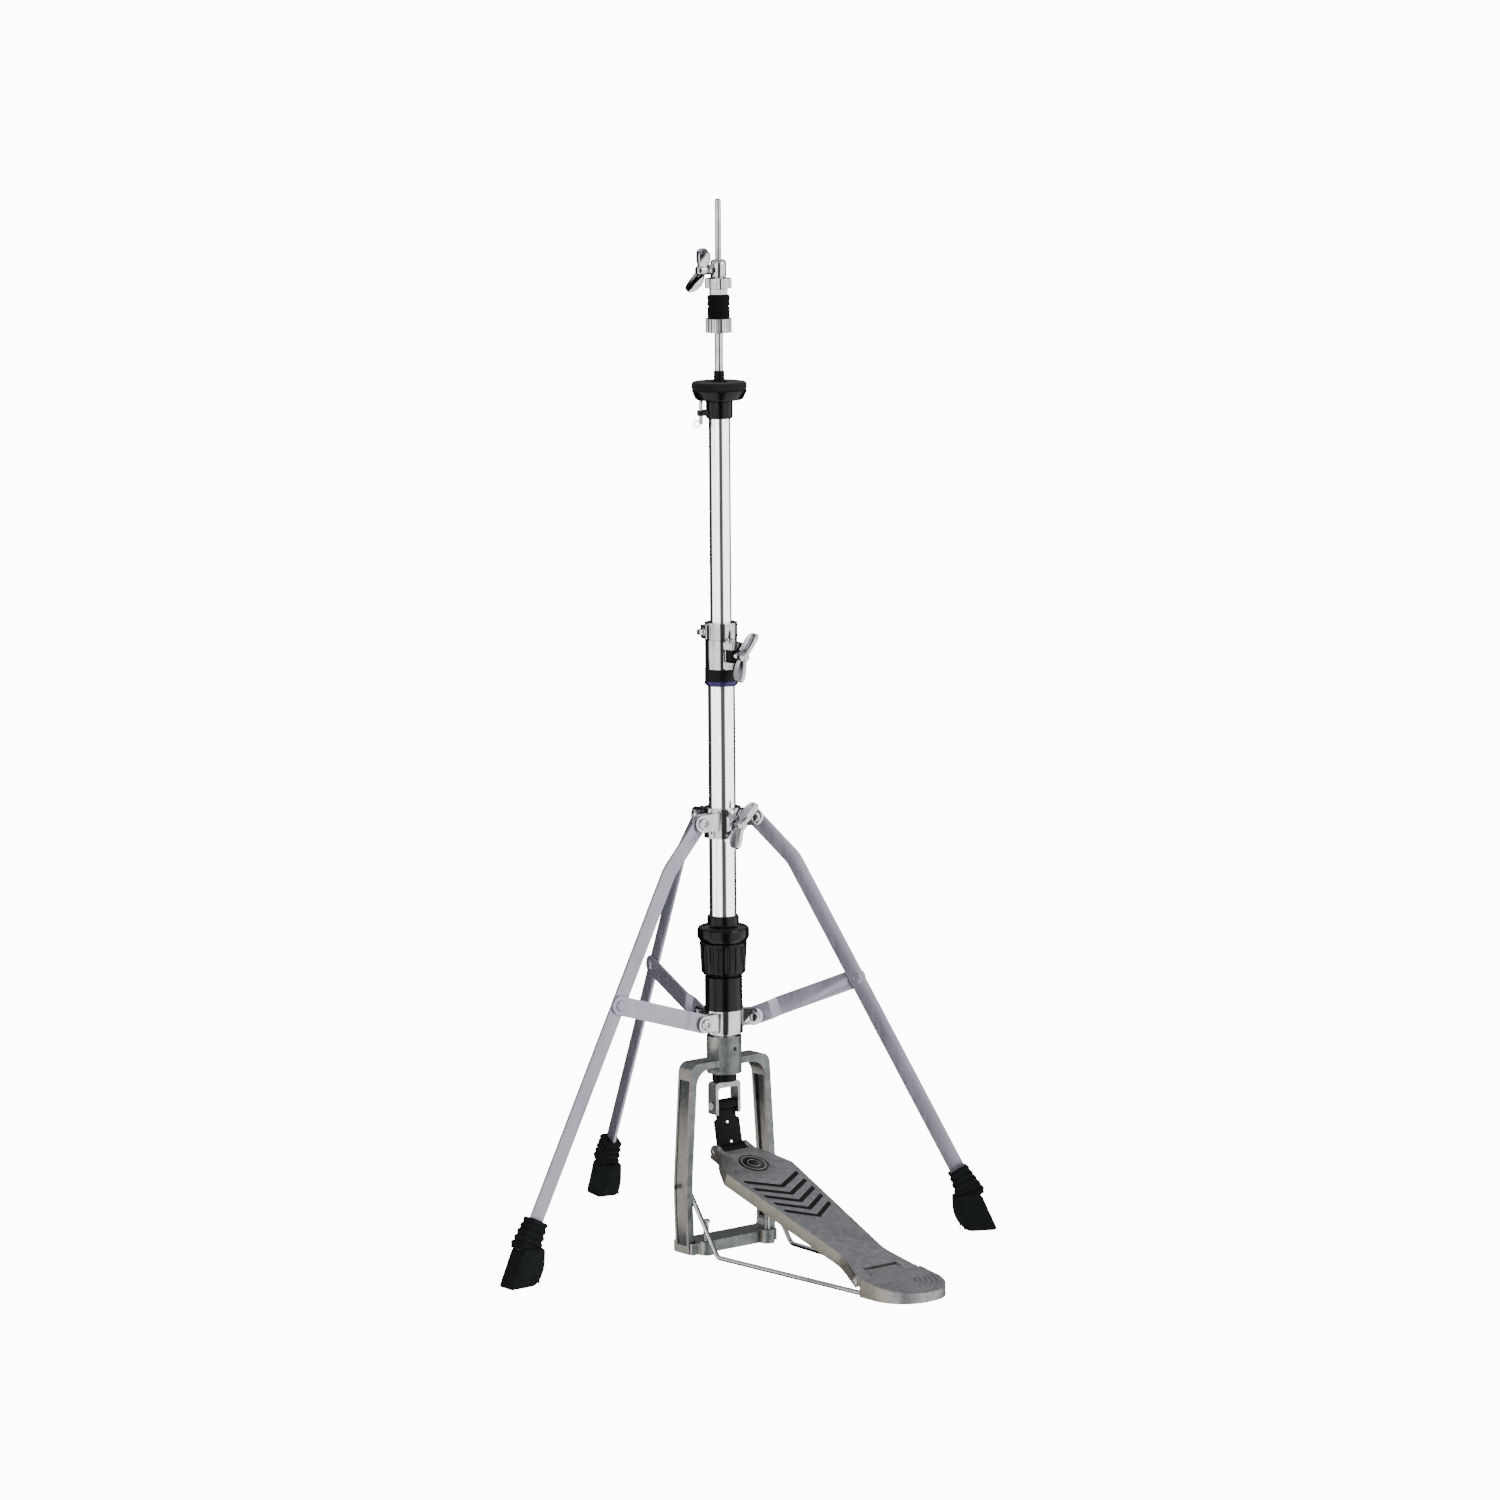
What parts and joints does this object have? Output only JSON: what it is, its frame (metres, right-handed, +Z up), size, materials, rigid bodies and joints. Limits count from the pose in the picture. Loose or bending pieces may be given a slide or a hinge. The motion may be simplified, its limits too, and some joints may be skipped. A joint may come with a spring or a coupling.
{
  "type": "hi-hat stand",
  "caption": "Floor stand for a pair of cymbals: a footboard pulls a rod down through a tube, with a folding tripod, a cymbal seat and a clutch.",
  "frame": {"origin": "on the floor plane under the axis of the pull rod, in the middle of the pedal frame's base", "axes": "+Z up along the pull rod, -Y out over the footboard towards the heel, +X to the right of a player's foot seen from the heel"},
  "size_m": [0.5046, 0.5539, 0.981],
  "materials": {
    "chrome": "polished",
    "zinc": "bright plated flat bar",
    "steel": "plain",
    "cast": "bead-blasted casting",
    "black": "gloss moulding",
    "nylon": "matt moulding",
    "violet": "anodised dark violet",
    "rubber": "matt",
    "felt": "felt",
    "seat_felt": "felt",
    "strap": "coated"
  },
  "bodies": {
    "stand": {"pedal_frame": "cast", "rod_guide_bush": "nylon", "radius_rod": "chrome", "heel_plate": "cast", "heel_pad": "rubber", "heel_hinge_pin": "steel", "lower_tube": "chrome", "spring_housing": "black", "housing_sleeve": "black", "lower_hub": "chrome", "brace_bolts": "chrome", "clamp_trim_ring": "violet", "clamp_bushing": "nylon", "clamp_body": "chrome", "clamp_nut": "chrome"},
    "spur_left": {"spur_screw_left": "steel"},
    "spur_right": {"spur_screw_right": "steel"},
    "treadle": {"footboard": "cast", "toe_pin": "steel"},
    "pull_rod": {"lower_pull_rod": "chrome", "upper_pull_rod": "steel", "spring_collar": "steel", "clevis": "cast", "clevis_pin": "steel", "pull_spring": "steel"},
    "link": {"strap": "strap"},
    "knob": {"tension_knob": "black"},
    "tension": {"tension_nut": "steel", "tension_pins": "steel", "spring_seat": "nylon"},
    "mast": {"upper_tube": "chrome", "seat_sleeve_cap": "black", "seat_bushing": "nylon"},
    "seat": {"seat_cup": "black", "seat_felt": "seat_felt"},
    "tilt": {"tilt_screw": "chrome"},
    "lock": {"memory_lock": "chrome", "memory_lock_bolt": "chrome"},
    "clamp_wing": {"clamp_wing_bolt": "chrome"},
    "hub": {"upper_hub": "chrome", "leg_bolts": "chrome"},
    "hub_wing": {"hub_wing_bolt": "chrome"},
    "clutch": {"clutch_barrel": "chrome", "clutch_felt_lower": "felt", "clutch_felt_upper": "felt"},
    "clutch_wing": {"clutch_wing_screw": "chrome"},
    "clutch_nut": {"clutch_bottom_nut": "chrome"},
    "clutch_locks": {"clutch_lock_nuts": "chrome"},
    "leg_right": {"leg_right": "zinc", "foot_right": "rubber"},
    "brace_right": {"brace_right": "zinc", "brace_rivet_right": "zinc"},
    "leg_back": {"leg_back": "zinc", "foot_back": "rubber"},
    "brace_back": {"brace_back": "zinc", "brace_rivet_back": "zinc"},
    "leg_left": {"leg_left": "zinc", "foot_left": "rubber"},
    "brace_left": {"brace_left": "zinc", "brace_rivet_left": "zinc"}
  },
  "joints": [
    {"name": "footboard_press", "type": "hinge", "parent": "stand", "child": "treadle", "pos_m": [0, -0.231, 0.013], "axis": [-1, 0, 0], "range_deg": [0, 9]},
    {"name": "pull_rod_stroke", "type": "slide", "parent": "stand", "child": "pull_rod", "axis": [0, 0, -1], "range_m": [0, 0.0352], "stiffness_N_per_m": 500, "springref_m": -0.03, "deforming": ["pull_spring"]},
    {"name": "strap_swing", "type": "hinge", "parent": "pull_rod", "child": "link", "pos_m": [0, 0, 0.135], "axis": [1, 0, 0], "range_deg": [0, 14]},
    {"name": "tension_turn", "type": "hinge", "parent": "stand", "child": "knob", "pos_m": [0, 0, 0.274], "axis": [0, 0, 1], "range_deg": [0, 720]},
    {"name": "tension_travel", "type": "slide", "parent": "stand", "child": "tension", "axis": [0, 0, -1], "range_m": [0, 0.006], "stiffness_N_per_m": 0.1, "springref_m": -2.8675},
    {"name": "mast_height", "type": "slide", "parent": "stand", "child": "mast", "axis": [0, 0, 1], "range_m": [-0.12, 0]},
    {"name": "seat_tilt", "type": "hinge", "parent": "mast", "child": "seat", "pos_m": [0.0104, -0.00358, 0.7963], "axis": [0.3256, 0.9455, 0], "range_deg": [0, 5]},
    {"name": "tilt_screw_lift", "type": "slide", "parent": "mast", "child": "tilt", "axis": [0, 0, 1], "range_m": [0, 0.0026], "stiffness_N_per_m": 0.01, "springref_m": 1.8696},
    {"name": "memory_lock_height", "type": "slide", "parent": "stand", "child": "lock", "axis": [0, 0, 1], "range_m": [0, 0.055]},
    {"name": "clamp_wing_turn", "type": "hinge", "parent": "stand", "child": "clamp_wing", "pos_m": [0, -0.03, 0.5605], "axis": [0, -1, 0], "continuous": true},
    {"name": "tripod_fold", "type": "slide", "parent": "stand", "child": "hub", "axis": [0, 0, 1], "range_m": [0, 0.0933]},
    {"name": "hub_wing_turn", "type": "hinge", "parent": "hub", "child": "hub_wing", "pos_m": [0, -0.03, 0.403], "axis": [0, -1, 0], "continuous": true},
    {"name": "clutch_height", "type": "slide", "parent": "pull_rod", "child": "clutch", "axis": [0, 0, 1], "range_m": [0, 0.05]},
    {"name": "clutch_wing_turn", "type": "hinge", "parent": "clutch", "child": "clutch_wing", "pos_m": [-0.01235, 0.00196, 0.916], "axis": [-0.9877, 0.1564, 0], "continuous": true},
    {"name": "clutch_nut_turn", "type": "hinge", "parent": "clutch", "child": "clutch_nut", "pos_m": [0, 0, 0.8645], "axis": [0, 0, 1], "continuous": true},
    {"name": "lock_nuts_turn", "type": "hinge", "parent": "clutch", "child": "clutch_locks", "pos_m": [0, 0, 0.9], "axis": [0, 0, 1], "continuous": true},
    {"name": "spur_left_travel", "type": "slide", "parent": "stand", "child": "spur_left", "axis": [0, 0, 1], "range_m": [-0.004, 0.005]},
    {"name": "spur_right_travel", "type": "slide", "parent": "stand", "child": "spur_right", "axis": [0, 0, 1], "range_m": [-0.004, 0.005]},
    {"name": "leg_right_fold", "type": "hinge", "parent": "hub", "child": "leg_right", "pos_m": [0.0319, -0.00759, 0.4055], "axis": [0.4617, 0.887, 0], "range_deg": [0, 22.3]},
    {"name": "brace_right_fold", "type": "hinge", "parent": "stand", "child": "brace_right", "pos_m": [0.03039, -0.0068, 0.2163], "axis": [-0.4617, -0.887, 0], "range_deg": [0, 55]},
    {"name": "leg_back_fold", "type": "hinge", "parent": "hub", "child": "leg_back", "pos_m": [-0.00121, 0.03277, 0.4055], "axis": [-0.9781, 0.2079, 0], "range_deg": [0, 22.3]},
    {"name": "brace_back_fold", "type": "hinge", "parent": "stand", "child": "brace_back", "pos_m": [-0.00157, 0.03111, 0.2163], "axis": [0.9781, -0.2079, 0], "range_deg": [0, 55]},
    {"name": "leg_left_fold", "type": "hinge", "parent": "hub", "child": "leg_left", "pos_m": [-0.03193, -0.00744, 0.4055], "axis": [-0.0175, -0.9998, 0], "range_deg": [0, 22.3]},
    {"name": "brace_left_fold", "type": "hinge", "parent": "stand", "child": "brace_left", "pos_m": [-0.03024, -0.00747, 0.2163], "axis": [0.0175, 0.9998, 0], "range_deg": [0, 55]}
  ],
  "couplings": [
    {"joint": "pull_rod_stroke", "follows": "footboard_press", "m_per_rad": 0.2216},
    {"joint": "strap_swing", "follows": "footboard_press", "ratio": 1.534},
    {"joint": "tension_travel", "follows": "tension_turn", "m_per_rad": 0.00047746},
    {"joint": "tilt_screw_lift", "follows": "seat_tilt", "m_per_rad": 0.029},
    {"joint": "leg_right_fold", "follows": "tripod_fold", "rad_per_m": 4.1597},
    {"joint": "brace_right_fold", "follows": "tripod_fold", "rad_per_m": 10.262},
    {"joint": "leg_back_fold", "follows": "tripod_fold", "rad_per_m": 4.1597},
    {"joint": "brace_back_fold", "follows": "tripod_fold", "rad_per_m": 10.262},
    {"joint": "leg_left_fold", "follows": "tripod_fold", "rad_per_m": 4.1597},
    {"joint": "brace_left_fold", "follows": "tripod_fold", "rad_per_m": 10.262}
  ]
}
